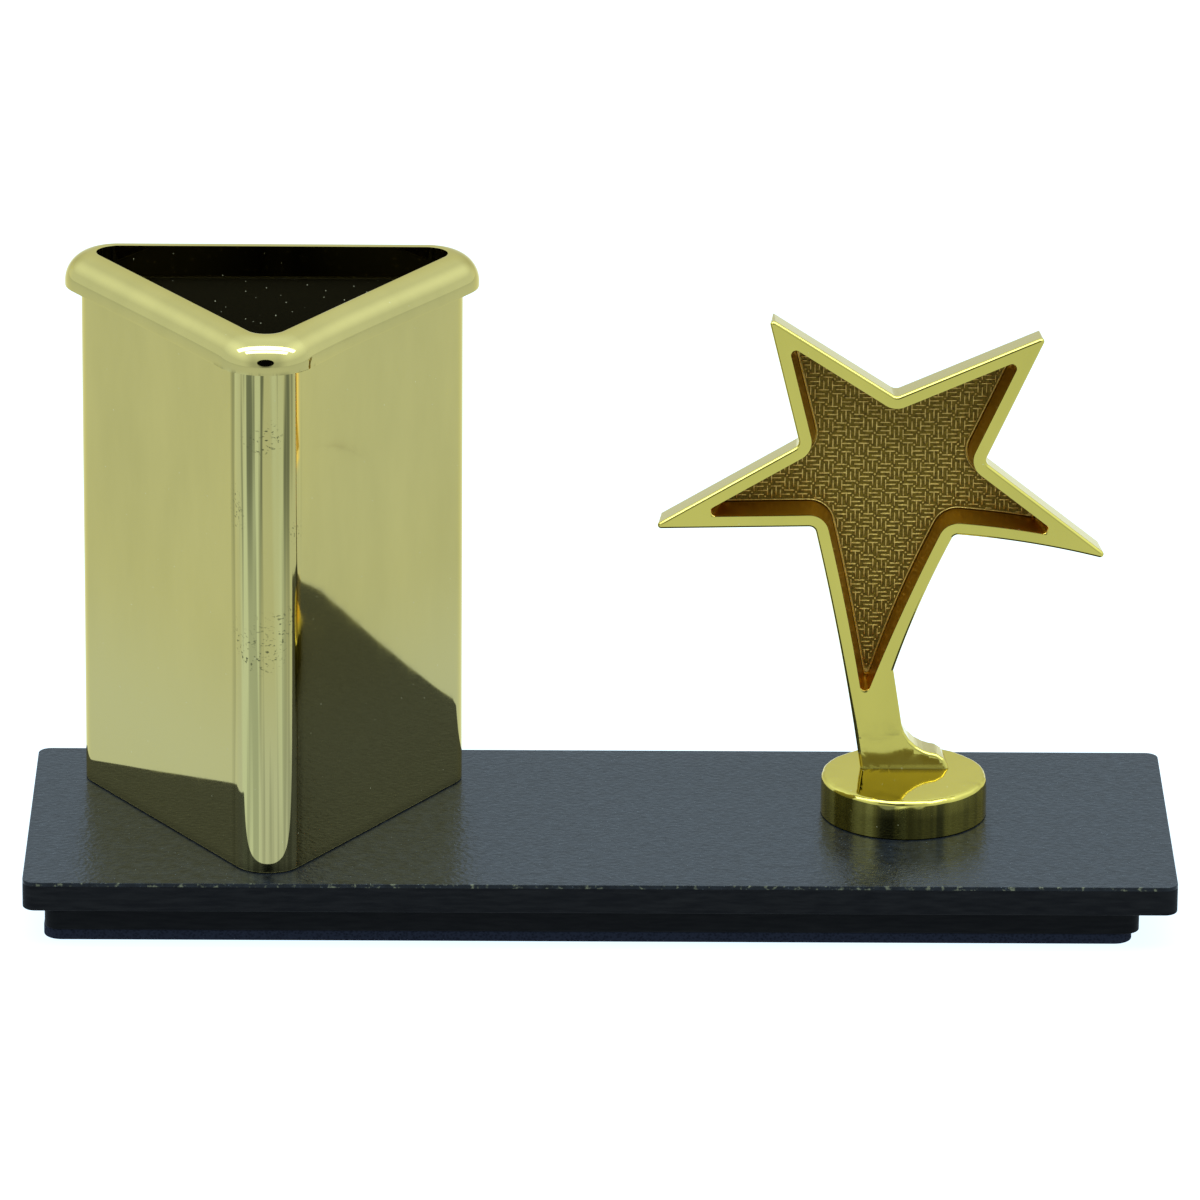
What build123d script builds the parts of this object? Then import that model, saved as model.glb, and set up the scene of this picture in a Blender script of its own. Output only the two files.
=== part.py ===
"""Desk award: a two-step base with a three-sided pen cup and a star figure.

Frame: millimetres, +X to the right along the base, +Y to the back, +Z up.
The origin is on the surface that the award stands on, under the middle of the deck.
"""
import os
from math import atan, degrees

from build123d import *

os.makedirs("parts", exist_ok=True)

# Base: a pad, a plinth and a deck, from the bottom up
PAD_THICKNESS = 2.3
PLINTH_THICKNESS = 5.9
DECK_CORE_THICKNESS = 5.2
LAMINATE_THICKNESS = 0.8
DECK_LENGTH = 228.6
DECK_DEPTH = 76.2
DECK_CORNER = 2.6
PLINTH_LENGTH = 217.3
PLINTH_DEPTH = 66.2
PLINTH_CORNER = 3.0
PLINTH_SHIFT = -1.55            # the plinth sits a little off-centre under the deck
PAD_LENGTH = 216.1
PAD_DEPTH = 65.2
PAD_CORNER = 3.6
PAD_SHIFT = -2.35

# Pen cup: three round corners joined by flat walls, one flat wall at the back
CUP_X = -65.9
CUP_WIDTH = 76.2
CUP_FRONT = -32.7
CUP_BACK = 29.6
CUP_HEIGHT = 111.5
CUP_CORNER = 7.2
CUP_WALL = 2.2
CUP_FLOOR = 2.5
RIM_OVERHANG = 3.3              # the rolled rim stands proud of the wall
RIM_HEIGHT = 6.6
RIM_ROUND = 5.8
LIP_INSET = 3.1                 # the rim's inner edge, from the wall's outer face
LIP_EDGE = 0.25
BOSS_RADIUS = 4.2
BOSS_HEIGHT = 10.5
BOSS_INSET = 2.4                # the bosses stand nearer to the middle than the corners
BOSS_HOLE_DEPTH = 9.25          # the screw holes stop short of the bosses' tops

# Pedestal: a disc under the star
PEDESTAL_X = 61.2
PEDESTAL_Y = 4.05
PEDESTAL_RADIUS = 16.75
PEDESTAL_HEIGHT = 8.3
PEDESTAL_EDGE = 1.1

# Star: an upright plate with a recessed front and a sweeping foot
STAR_FRONT = 6.5                # the front face, from the middle of the deck
STAR_THICKNESS = 7.6
STAR_DRAFT = 0.6                # each side draws in this much towards the back
STAR_BORDER = 2.6
RECESS_DEPTH = 6.8
RECESS_DRAFT = 1.0
INLAY_THICKNESS = 0.5
INLAY_CLEARANCE = 0.1
STAR_EDGE = 0.7                 # round on the front outer edge
TIP_ROUND = 0.7
NOTCH_ROUND = 1.4
FOOT_SPARE = 1.5                # drawn below the pedestal's top, then cut off flat
PEG_RADIUS = 1.5
PEG_LENGTH = 3.0
PEG_X = 4.6                     # locating peg, from the pedestal's axis
STAR_SCREW_X = -5.2             # star screw, from the pedestal's axis

# Fasteners
CUP_SCREW_SHANK = 1.45
CUP_SCREW_HEAD = 3.4
CUP_SCREW_HEAD_HEIGHT = 2.0
CUP_SCREW_LENGTH = 11.5
CUP_WASHER_RADIUS = 4.2
CUP_WASHER_THICKNESS = 0.6
STAR_SCREW_SHANK = 2.0
STAR_SCREW_HEAD = 3.9
STAR_SCREW_HEAD_HEIGHT = 2.1
STAR_SCREW_LENGTH = 21.0
STAR_SCREW_GRIP = 10.5          # depth of the hole in the star's foot
STAR_WASHER_RADIUS = 4.5
STAR_WASHER_THICKNESS = 0.8
PLINTH_SCREW_SHANK = 1.5
PLINTH_SCREW_HEAD = 3.0
PLINTH_SCREW_LENGTH = 9.3
PLINTH_SCREW_SPACING = (200.0, 46.0)
HOLE_CLEARANCE = 0.3
POCKET_CLEARANCE = 0.4
THREAD_CLEARANCE = 0.05
SLOT_WIDTH = 0.9                # arms of the cross recess in each screw head
SLOT_DEPTH = 1.1

# Heights of the layers above the standing surface
PLINTH_BOTTOM = PAD_THICKNESS
DECK_BOTTOM = PLINTH_BOTTOM + PLINTH_THICKNESS
LAMINATE_BOTTOM = DECK_BOTTOM + DECK_CORE_THICKNESS
DECK_TOP = LAMINATE_BOTTOM + LAMINATE_THICKNESS
CUP_TOP = DECK_TOP + CUP_HEIGHT
PEDESTAL_TOP = DECK_TOP + PEDESTAL_HEIGHT

CUP_POCKET_DEPTH = CUP_SCREW_HEAD_HEIGHT + CUP_WASHER_THICKNESS
STAR_POCKET_DEPTH = STAR_SCREW_HEAD_HEIGHT + STAR_WASHER_THICKNESS

UP = (Align.CENTER, Align.CENTER, Align.MIN)

# Centres of the cup's three round corners: front, back right, back left
CUP_CORNER_HALF_SPAN = CUP_WIDTH / 2 - CUP_CORNER
CUP_CORNERS = [
    (CUP_X, CUP_FRONT + CUP_CORNER),
    (CUP_X + CUP_CORNER_HALF_SPAN, CUP_BACK - CUP_CORNER),
    (CUP_X - CUP_CORNER_HALF_SPAN, CUP_BACK - CUP_CORNER),
]
CUP_MIDDLE = (CUP_X, sum(y for x, y in CUP_CORNERS) / 3)


def towards_middle(corner):
    """The point BOSS_INSET nearer to the middle of the cup than a corner's centre."""
    way = Vector(*CUP_MIDDLE) - Vector(*corner)
    spot = Vector(*corner) + way.normalized() * BOSS_INSET
    return (spot.X, spot.Y)


CUP_SCREW_SPOTS = [towards_middle(corner) for corner in CUP_CORNERS]
STAR_SCREW_SPOT = (PEDESTAL_X + STAR_SCREW_X, STAR_FRONT + STAR_THICKNESS / 2)
PEG_SPOT = (PEDESTAL_X + PEG_X, STAR_FRONT + STAR_THICKNESS / 2)
PLINTH_SCREW_SPOTS = [
    (PLINTH_SHIFT + side * PLINTH_SCREW_SPACING[0] / 2, end * PLINTH_SCREW_SPACING[1] / 2)
    for side in (-1, 1)
    for end in (-1, 1)
]


def save(piece, name):
    """Label a finished piece and write it as one STEP file."""
    piece.part.label = name
    export_step(piece.part, f"parts/{name}.step")


def facing_down(spots, height):
    """Planes at a height that look down, for holes drilled from below."""
    return [Plane(origin=(x, y, height), x_dir=(1, 0, 0), z_dir=(0, 0, -1)) for x, y in spots]


def facing_up(spots, height):
    """Planes at a height that look up."""
    return [Plane(origin=(x, y, height)) for x, y in spots]


# ---------------------------------------------------------------- base
with BuildPart() as base_pad:
    with BuildSketch(Plane.XY):
        with Locations((PAD_SHIFT, 0)):
            RectangleRounded(PAD_LENGTH, PAD_DEPTH, PAD_CORNER)
    extrude(amount=PAD_THICKNESS)
save(base_pad, "base_pad")

with BuildPart() as plinth_board:
    with BuildSketch(Plane.XY.offset(PLINTH_BOTTOM)):
        with Locations((PLINTH_SHIFT, 0)):
            RectangleRounded(PLINTH_LENGTH, PLINTH_DEPTH, PLINTH_CORNER)
    extrude(amount=PLINTH_THICKNESS)
    with Locations(*facing_down(PLINTH_SCREW_SPOTS, PLINTH_BOTTOM)):
        CounterSinkHole(
            radius=PLINTH_SCREW_SHANK + THREAD_CLEARANCE,
            counter_sink_radius=PLINTH_SCREW_HEAD + THREAD_CLEARANCE,
            counter_sink_angle=90,
            depth=PLINTH_THICKNESS,
        )
save(plinth_board, "plinth_board")

with BuildPart() as deck_board:
    with BuildSketch(Plane.XY.offset(DECK_BOTTOM)):
        RectangleRounded(DECK_LENGTH, DECK_DEPTH, DECK_CORNER)
    extrude(amount=DECK_CORE_THICKNESS)
    with Locations(*facing_down(CUP_SCREW_SPOTS, DECK_BOTTOM)):
        CounterBoreHole(
            radius=CUP_SCREW_SHANK + HOLE_CLEARANCE,
            counter_bore_radius=CUP_WASHER_RADIUS + POCKET_CLEARANCE,
            counter_bore_depth=CUP_POCKET_DEPTH,
            depth=DECK_CORE_THICKNESS,
        )
    with Locations(*facing_down([STAR_SCREW_SPOT], DECK_BOTTOM)):
        CounterBoreHole(
            radius=STAR_SCREW_SHANK + HOLE_CLEARANCE,
            counter_bore_radius=STAR_WASHER_RADIUS + POCKET_CLEARANCE,
            counter_bore_depth=STAR_POCKET_DEPTH,
            depth=DECK_CORE_THICKNESS,
        )
    with Locations(*facing_down(PLINTH_SCREW_SPOTS, DECK_BOTTOM)):
        Hole(
            radius=PLINTH_SCREW_SHANK + THREAD_CLEARANCE,
            depth=PLINTH_SCREW_LENGTH - PLINTH_THICKNESS + POCKET_CLEARANCE,
        )
save(deck_board, "deck_board")

with BuildPart() as deck_laminate:
    with BuildSketch(Plane.XY.offset(LAMINATE_BOTTOM)):
        RectangleRounded(DECK_LENGTH, DECK_DEPTH, DECK_CORNER)
    extrude(amount=LAMINATE_THICKNESS)
    with Locations(*facing_down(CUP_SCREW_SPOTS, LAMINATE_BOTTOM)):
        Hole(radius=CUP_SCREW_SHANK + HOLE_CLEARANCE, depth=LAMINATE_THICKNESS)
    with Locations(*facing_down([STAR_SCREW_SPOT], LAMINATE_BOTTOM)):
        Hole(radius=STAR_SCREW_SHANK + HOLE_CLEARANCE, depth=LAMINATE_THICKNESS)
save(deck_laminate, "deck_laminate")


# ---------------------------------------------------------------- pen cup
def cup_outline(plane, grow):
    """Sketch of the cup's plan, moved outward from the wall's outer face by grow."""
    with BuildSketch(plane) as outline:
        Polygon(*CUP_CORNERS, align=None)
        offset(amount=CUP_CORNER + grow, kind=Kind.ARC)
    return outline.sketch


with BuildPart() as cup_shell:
    add(cup_outline(Plane.XY.offset(DECK_TOP), 0))
    extrude(amount=CUP_HEIGHT)
    add(cup_outline(Plane.XY.offset(CUP_TOP - RIM_HEIGHT), RIM_OVERHANG))
    extrude(amount=RIM_HEIGHT)
    rim_edge = cup_shell.faces().sort_by(Axis.Z)[-1].outer_wire().edges()
    fillet(rim_edge, radius=RIM_ROUND)
    add(cup_outline(Plane.XY.offset(DECK_TOP + CUP_FLOOR), -CUP_WALL))
    extrude(amount=CUP_HEIGHT - RIM_HEIGHT - CUP_FLOOR, mode=Mode.SUBTRACT)
    add(cup_outline(Plane.XY.offset(DECK_TOP + CUP_FLOOR), -LIP_INSET))
    extrude(amount=CUP_HEIGHT, mode=Mode.SUBTRACT)
    lip_edge = cup_shell.faces().sort_by(Axis.Z)[-1].inner_wires()[0].edges()
    fillet(lip_edge, radius=LIP_EDGE)
    with Locations(*facing_up(CUP_SCREW_SPOTS, DECK_TOP)):
        Cylinder(BOSS_RADIUS, BOSS_HEIGHT, align=UP)
    with Locations(*facing_down(CUP_SCREW_SPOTS, DECK_TOP)):
        Hole(radius=CUP_SCREW_SHANK + THREAD_CLEARANCE, depth=BOSS_HOLE_DEPTH)
save(cup_shell, "cup_shell")


# ---------------------------------------------------------------- fasteners
CUP_HEAD_BOTTOM = DECK_BOTTOM
CUP_WASHER_BOTTOM = CUP_HEAD_BOTTOM + CUP_SCREW_HEAD_HEIGHT
STAR_WASHER_BOTTOM = DECK_BOTTOM + STAR_SCREW_HEAD_HEIGHT


def cross_recess(spots, height, reach):
    """Cut a cross into the underside of the screw heads of the current part."""
    with Locations(*facing_up(spots, height)):
        Box(2 * reach, SLOT_WIDTH, SLOT_DEPTH, align=UP, mode=Mode.SUBTRACT)
        Box(SLOT_WIDTH, 2 * reach, SLOT_DEPTH, align=UP, mode=Mode.SUBTRACT)


with BuildPart() as cup_washers:
    with Locations(*facing_up(CUP_SCREW_SPOTS, CUP_WASHER_BOTTOM)):
        Cylinder(CUP_WASHER_RADIUS, CUP_WASHER_THICKNESS, align=UP)
        Cylinder(
            CUP_SCREW_SHANK + HOLE_CLEARANCE, CUP_WASHER_THICKNESS,
            align=UP, mode=Mode.SUBTRACT,
        )
save(cup_washers, "cup_washers")

with BuildPart() as cup_screws:
    with Locations(*facing_up(CUP_SCREW_SPOTS, CUP_HEAD_BOTTOM)):
        Cylinder(CUP_SCREW_HEAD, CUP_SCREW_HEAD_HEIGHT, align=UP)
    with Locations(*facing_up(CUP_SCREW_SPOTS, CUP_WASHER_BOTTOM)):
        Cylinder(CUP_SCREW_SHANK, CUP_SCREW_LENGTH, align=UP)
    tips = cup_screws.faces().filter_by(Axis.Z).group_by(Axis.Z)[-1].edges()
    chamfer(tips, length=CUP_SCREW_SHANK / 2)
    cross_recess(CUP_SCREW_SPOTS, CUP_HEAD_BOTTOM, CUP_SCREW_HEAD / 2)
save(cup_screws, "cup_screws")

with BuildPart() as star_washer:
    with Locations(*facing_up([STAR_SCREW_SPOT], STAR_WASHER_BOTTOM)):
        Cylinder(STAR_WASHER_RADIUS, STAR_WASHER_THICKNESS, align=UP)
        Cylinder(
            STAR_SCREW_SHANK + HOLE_CLEARANCE, STAR_WASHER_THICKNESS,
            align=UP, mode=Mode.SUBTRACT,
        )
save(star_washer, "star_washer")

with BuildPart() as star_screw:
    with Locations(*facing_up([STAR_SCREW_SPOT], DECK_BOTTOM)):
        Cylinder(STAR_SCREW_HEAD, STAR_SCREW_HEAD_HEIGHT, align=UP)
    with Locations(*facing_up([STAR_SCREW_SPOT], STAR_WASHER_BOTTOM)):
        Cylinder(STAR_SCREW_SHANK, STAR_SCREW_LENGTH, align=UP)
    tip = star_screw.faces().filter_by(Axis.Z).sort_by(Axis.Z)[-1].edges()
    chamfer(tip, length=STAR_SCREW_SHANK / 4)
    cross_recess([STAR_SCREW_SPOT], DECK_BOTTOM, STAR_SCREW_HEAD / 2)
save(star_screw, "star_screw")

with BuildPart() as plinth_screws:
    with Locations(*facing_up(PLINTH_SCREW_SPOTS, PLINTH_BOTTOM)):
        Cone(
            PLINTH_SCREW_HEAD, PLINTH_SCREW_SHANK,
            PLINTH_SCREW_HEAD - PLINTH_SCREW_SHANK, align=UP,
        )
        Cylinder(PLINTH_SCREW_SHANK, PLINTH_SCREW_LENGTH, align=UP)
    tips = plinth_screws.faces().filter_by(Axis.Z).group_by(Axis.Z)[-1].edges()
    chamfer(tips, length=PLINTH_SCREW_SHANK / 2)
    cross_recess(PLINTH_SCREW_SPOTS, PLINTH_BOTTOM, PLINTH_SCREW_HEAD / 2)
save(plinth_screws, "plinth_screws")

# ---------------------------------------------------------------- pedestal
with BuildPart() as star_pedestal:
    with BuildSketch(Plane.XY.offset(DECK_TOP)):
        with Locations((PEDESTAL_X, PEDESTAL_Y)):
            Circle(PEDESTAL_RADIUS)
    extrude(amount=PEDESTAL_HEIGHT)
    fillet(star_pedestal.faces().sort_by(Axis.Z)[-1].edges(), radius=PEDESTAL_EDGE)
    with Locations(*facing_down([STAR_SCREW_SPOT], DECK_TOP)):
        Hole(radius=STAR_SCREW_SHANK + HOLE_CLEARANCE, depth=PEDESTAL_HEIGHT)
    with Locations(*facing_up([PEG_SPOT], PEDESTAL_TOP)):
        Hole(radius=PEG_RADIUS + THREAD_CLEARANCE, depth=PEG_LENGTH + POCKET_CLEARANCE)
save(star_pedestal, "star_pedestal")

# ---------------------------------------------------------------- star
# Points of the outline in the plane of the star: along X from the pedestal's axis,
# and up from the deck.
TIP_TOP_LEFT = (-28.4, 103.5)
NOTCH_TOP = (-2.7, 86.9)
TIP_TOP_RIGHT = (27.2, 100.0)
NOTCH_RIGHT = (15.1, 73.3)
TIP_RIGHT = (41.7, 52.4)
NOTCH_LOW_RIGHT = (9.3, 58.0)
KNEE = (-2.35, 29.1)            # where the stem stops narrowing
STEM_LOW_RIGHT = (-0.7, 18.7)
TOE_TOP = (5.3, 11.6)
TOE = (9.0, PEDESTAL_HEIGHT - FOOT_SPARE)
HEEL = (-8.5, PEDESTAL_HEIGHT - FOOT_SPARE)
NOTCH_LOW_LEFT = (-18.6, 59.5)
TIP_LEFT = (-51.9, 58.9)
NOTCH_LEFT = (-21.8, 76.7)
LOWEST_POINT = (-9.4, 11.7)     # where the two sides of the stem would meet
ARM_HOLLOW = (21.0, 56.7)       # on the hollow curve under the right arm
STEM_RIGHT_HOLLOW = (2.2, 42.0)
STEM_LEFT_HOLLOW = (-13.9, 38.0)
SWEEP_HOLLOW = (0.9, 14.4)      # on the hollow curve above the toe
TOE_CROWN = (8.3, 10.1)
STAR_MIDDLE = (-3.0, 68.0)

STAR_PLANE = Plane(
    origin=(PEDESTAL_X, STAR_FRONT, DECK_TOP), x_dir=(1, 0, 0), z_dir=(0, -1, 0)
)
UPPER_EDGES = [
    TIP_RIGHT, NOTCH_RIGHT, TIP_TOP_RIGHT, NOTCH_TOP, TIP_TOP_LEFT, NOTCH_LEFT,
    TIP_LEFT, NOTCH_LOW_LEFT,
]
TIPS = [TIP_RIGHT, TIP_TOP_RIGHT, TIP_TOP_LEFT, TIP_LEFT]
NOTCHES = [NOTCH_RIGHT, NOTCH_TOP, NOTCH_LEFT, NOTCH_LOW_LEFT, NOTCH_LOW_RIGHT]


def near(vertices, points, reach=0.5):
    """The vertices of a sketch that lie at the given points."""
    return [v for v in vertices if any(abs(v.X - x) + abs(v.Y - y) < reach for x, y in points)]


with BuildSketch(Plane.XY) as star_outline:
    with BuildLine():
        Polyline(*UPPER_EDGES)
        ThreePointArc(NOTCH_LOW_LEFT, STEM_LEFT_HOLLOW, HEEL)
        Line(HEEL, TOE)
        ThreePointArc(TOE, TOE_CROWN, TOE_TOP)
        ThreePointArc(TOE_TOP, SWEEP_HOLLOW, STEM_LOW_RIGHT)
        Line(STEM_LOW_RIGHT, KNEE)
        ThreePointArc(KNEE, STEM_RIGHT_HOLLOW, NOTCH_LOW_RIGHT)
        ThreePointArc(NOTCH_LOW_RIGHT, ARM_HOLLOW, TIP_RIGHT)
    make_face()
    fillet(near(star_outline.vertices(), TIPS), radius=TIP_ROUND)
    fillet(near(star_outline.vertices(), NOTCHES), radius=NOTCH_ROUND)

with BuildSketch(Plane.XY) as star_field:
    with BuildLine():
        Polyline(*UPPER_EDGES)
        ThreePointArc(NOTCH_LOW_LEFT, STEM_LEFT_HOLLOW, LOWEST_POINT)
        ThreePointArc(LOWEST_POINT, STEM_RIGHT_HOLLOW, NOTCH_LOW_RIGHT)
        ThreePointArc(NOTCH_LOW_RIGHT, ARM_HOLLOW, TIP_RIGHT)
    make_face()


def field_inside(border, rounding):
    """The star's outline drawn in by a border, with its five points rounded."""
    with BuildSketch(Plane.XY) as field:
        add(star_field.sketch)
        offset(amount=-border, kind=Kind.ARC)
        points = field.vertices().sort_by_distance(STAR_MIDDLE)[-len(TIPS) - 1:]
        fillet(points, radius=rounding)
    return field.sketch


with BuildPart() as star_body:
    with BuildSketch(STAR_PLANE):
        add(star_outline.sketch)
    extrude(amount=-STAR_THICKNESS, taper=degrees(atan(STAR_DRAFT / STAR_THICKNESS)))
    with BuildSketch(STAR_PLANE):
        add(field_inside(STAR_BORDER, TIP_ROUND))
    extrude(
        amount=-RECESS_DEPTH, taper=degrees(atan(RECESS_DRAFT / RECESS_DEPTH)),
        mode=Mode.SUBTRACT,
    )
    fillet(star_body.faces().sort_by(Axis.Y)[0].outer_wire().edges(), radius=STAR_EDGE)
    split(bisect_by=Plane.XY.offset(PEDESTAL_TOP), keep=Keep.TOP)
    with Locations(*facing_down([PEG_SPOT], PEDESTAL_TOP + FOOT_SPARE)):
        Cylinder(PEG_RADIUS, PEG_LENGTH + FOOT_SPARE, align=UP)
    with Locations(*facing_down([STAR_SCREW_SPOT], PEDESTAL_TOP)):
        Hole(radius=STAR_SCREW_SHANK + THREAD_CLEARANCE, depth=STAR_SCREW_GRIP)
save(star_body, "star_body")

with BuildPart() as star_inlay:
    with BuildSketch(STAR_PLANE.offset(-RECESS_DEPTH)):
        add(field_inside(STAR_BORDER + RECESS_DRAFT + INLAY_CLEARANCE, TIP_ROUND / 2))
    extrude(amount=INLAY_THICKNESS)
save(star_inlay, "star_inlay")
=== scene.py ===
"""Looks for the star trophy desk set: meshes, materials, light and camera, in metres."""
import math

import bmesh
import bpy
from mathutils import Matrix, Vector, noise


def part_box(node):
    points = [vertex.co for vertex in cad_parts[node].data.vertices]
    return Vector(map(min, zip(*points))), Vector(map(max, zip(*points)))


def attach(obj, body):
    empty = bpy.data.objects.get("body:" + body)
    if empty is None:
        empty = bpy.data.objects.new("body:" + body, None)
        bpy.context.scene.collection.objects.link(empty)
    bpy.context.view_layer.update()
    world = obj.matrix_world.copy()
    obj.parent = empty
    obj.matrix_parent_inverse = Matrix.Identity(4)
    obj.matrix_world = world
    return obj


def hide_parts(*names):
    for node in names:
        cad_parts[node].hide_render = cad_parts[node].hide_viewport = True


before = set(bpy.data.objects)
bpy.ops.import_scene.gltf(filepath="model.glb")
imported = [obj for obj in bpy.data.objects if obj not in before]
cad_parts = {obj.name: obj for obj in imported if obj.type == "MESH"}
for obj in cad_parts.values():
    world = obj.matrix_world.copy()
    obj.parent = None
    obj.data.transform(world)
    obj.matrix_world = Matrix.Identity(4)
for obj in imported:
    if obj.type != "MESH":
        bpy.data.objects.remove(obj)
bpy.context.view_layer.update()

MM = 0.001
ROOT = "root"

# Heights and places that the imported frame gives
PAD_LOW, PAD_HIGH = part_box("base_pad")
PLINTH_LOW, PLINTH_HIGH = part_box("plinth_board")
DECK_LOW, DECK_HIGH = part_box("deck_board")
LAMINATE_LOW, LAMINATE_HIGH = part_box("deck_laminate")
CUP_LOW, CUP_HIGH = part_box("cup_shell")
PEDESTAL_LOW, PEDESTAL_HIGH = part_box("star_pedestal")
STAR_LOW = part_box("star_body")[0]

# Sizes that the cup and the star share with their CAD parts
CUP_CORNER = 7.2 * MM
CUP_WALL = 2.2 * MM
CUP_FLOOR = 2.5 * MM
RIM_OVERHANG = 3.3 * MM
RIM_HEIGHT = 6.6 * MM
RIM_ROUND = 5.8 * MM
LIP_INSET = 3.1 * MM
BOSS_RADIUS = 4.2 * MM
BOSS_HEIGHT = 10.5 * MM
BOSS_INSET = 2.4 * MM
STAR_THICKNESS = 7.6 * MM
STAR_DRAFT = 0.6 * MM
STAR_BORDER = 2.6 * MM
RECESS_DEPTH = 6.8 * MM
RECESS_DRAFT = 1.0 * MM
INLAY_THICKNESS = 0.5 * MM


# ---------------------------------------------------------------- node helpers
def new_material(name):
    """An empty node material: the material, its node tree and its shader."""
    material = bpy.data.materials.new(name)
    material.use_nodes = True
    return material, material.node_tree, material.node_tree.nodes["Principled BSDF"]


def feed(tree, made, **values):
    """Link or set a node's sockets, with _ for a space; other keys set attributes. None is skipped."""
    for key, value in values.items():
        socket = made.inputs.get(key.replace("_", " "))
        if socket is None:
            setattr(made, key, value)
        elif isinstance(value, bpy.types.NodeSocket):
            tree.links.new(value, socket)
        elif value is not None:
            socket.default_value = value


def node(tree, kind, **values):
    """Add a node and feed it its values."""
    made = tree.nodes.new(kind)
    feed(tree, made, **values)
    return made


def ramp(tree, source, stops):
    """A grey ramp on a value; stops are (position, grey)."""
    made = node(tree, "ShaderNodeValToRGB", Fac=source)
    elements = made.color_ramp.elements
    while len(elements) < len(stops):
        elements.new(0.5)
    for element, (position, grey) in zip(elements, stops):
        element.position = position
        element.color = (grey, grey, grey, 1)
    return made.outputs["Color"]


def own_place(tree):
    """The object's own coordinates."""
    return node(tree, "ShaderNodeTexCoord").outputs["Object"]


def axis(tree, name):
    """One of the object's own coordinates: X, Y or Z."""
    return node(tree, "ShaderNodeSeparateXYZ", Vector=own_place(tree)).outputs[name]


def noise_value(tree, scale, detail=3.0, roughness=0.5, stretch=(1, 1, 1)):
    """Noise over the object's own coordinates, with a scale in bumps per metre."""
    place = node(tree, "ShaderNodeMapping", Vector=own_place(tree), Scale=stretch)
    made = node(tree, "ShaderNodeTexNoise", Vector=place.outputs["Vector"],
                Scale=scale, Detail=detail, Roughness=roughness)
    return made.outputs["Fac"]


def cell_value(tree, scale, feature="F1"):
    """Distance to scattered points, with a scale in cells per metre."""
    made = node(tree, "ShaderNodeTexVoronoi", feature=feature, Vector=own_place(tree), Scale=scale)
    return made.outputs["Distance"]


def bump(tree, height, strength, distance, under=None):
    """A bump on a height, stacked on an earlier bump if one is given."""
    made = node(tree, "ShaderNodeBump", Height=height, Strength=strength, Distance=distance, Normal=under)
    return made.outputs["Normal"]


def mix(tree, factor, a, b):
    """Mix two colours by a factor; each of the three is a socket or a value."""
    made = tree.nodes.new("ShaderNodeMix")
    made.data_type = "RGBA"
    for index, value in ((0, factor), (6, a), (7, b)):
        if isinstance(value, bpy.types.NodeSocket):
            tree.links.new(value, made.inputs[index])
        elif index == 0:
            made.inputs[index].default_value = value
        else:
            made.inputs[index].default_value = (*value, 1)
    return made.outputs[2]


def attribute(tree, name):
    """A value that the mesh carries at its vertices."""
    return node(tree, "ShaderNodeAttribute", attribute_name=name).outputs["Fac"]


def fade(tree, source, start, end, low=0.0, high=1.0, kind="SMOOTHSTEP"):
    """A value that goes from low to high while the source goes from start to end."""
    made = node(tree, "ShaderNodeMapRange", interpolation_type=kind, Value=source,
                From_Min=start, From_Max=end, To_Min=low, To_Max=high)
    return made.outputs["Result"]


def size_of(tree, source):
    """The value without its sign."""
    made = node(tree, "ShaderNodeMath", operation="ABSOLUTE")
    tree.links.new(source, made.inputs[0])
    return made.outputs["Value"]


def product(tree, a, b):
    """The product of two values."""
    made = node(tree, "ShaderNodeMath", operation="MULTIPLY")
    tree.links.new(a, made.inputs[0])
    tree.links.new(b, made.inputs[1])
    return made.outputs["Value"]


# ---------------------------------------------------------------- materials
# Gold tones: each pair is the clean metal and the same metal under a smear
FILM_GOLD = (0.37, 0.30, 0.092), (0.325, 0.265, 0.079)
PLATE_GOLD = (0.43, 0.345, 0.055), (0.385, 0.31, 0.048)
# Painted reflections on the gold: a paler low-wall tone, dark and pale column streaks (the dark also serves
# real scuffs), an amber crease sliver, pedestal bands, a deeper recess orange and a paler star-side tone
LOW_WALL_REFLECTION = (0.365, 0.312, 0.125)
REFLECTION_AND_SCUFF_DARK = (0.055, 0.050, 0.006)
REFLECTION_PALE = (0.43, 0.385, 0.15)
AMBER_REFLECTION = (0.75, 0.42, 0.03)
REFLECTED_BAND_DARK = (0.10, 0.085, 0.014)
REFLECTED_BAND_BRIGHT = (0.66, 0.55, 0.11)
RECESS_REFLECTION_GOLD = (0.52, 0.27, 0.016)
SIDE_REFLECTION_PALE = (0.38, 0.315, 0.185)
LACQUER_TINT = (1.0, 0.82, 0.35)
DUST = (0.34, 0.31, 0.20)
# Bare plastic inside the cup, and the same dark as painted contact shade at the feet
BARE_PLASTIC_AND_SHADE = (0.003, 0.0022, 0.0012)
SIDE_ROUGHNESS = (0.16,) * 3
RECESS_ROUGHNESS = (0.30,) * 3
BARE_ROUGHNESS = (0.45,) * 3

SLATE = (0.002, 0.0024, 0.003), (0.008, 0.0095, 0.0115)
SLATE_SPECK = (0.05, 0.058, 0.062)
WORN_EDGE = (0.075, 0.075, 0.045)
BOARD_BLACK = (0.0030, 0.0030, 0.0035), (0.0070, 0.0068, 0.0070)
FOAM_BLACK = (0.005, 0.006, 0.010), (0.011, 0.013, 0.021)
BRASS_GROOVE = (0.038, 0.021, 0.001), (0.150, 0.092, 0.006)
# The ridge tone is a painted highlight on the weave's tops
BRASS_RIDGE_HIGHLIGHT = (0.25, 0.155, 0.028), (0.60, 0.405, 0.115)
STEEL = (0.42, 0.42, 0.43), (0.62, 0.62, 0.60)

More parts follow.
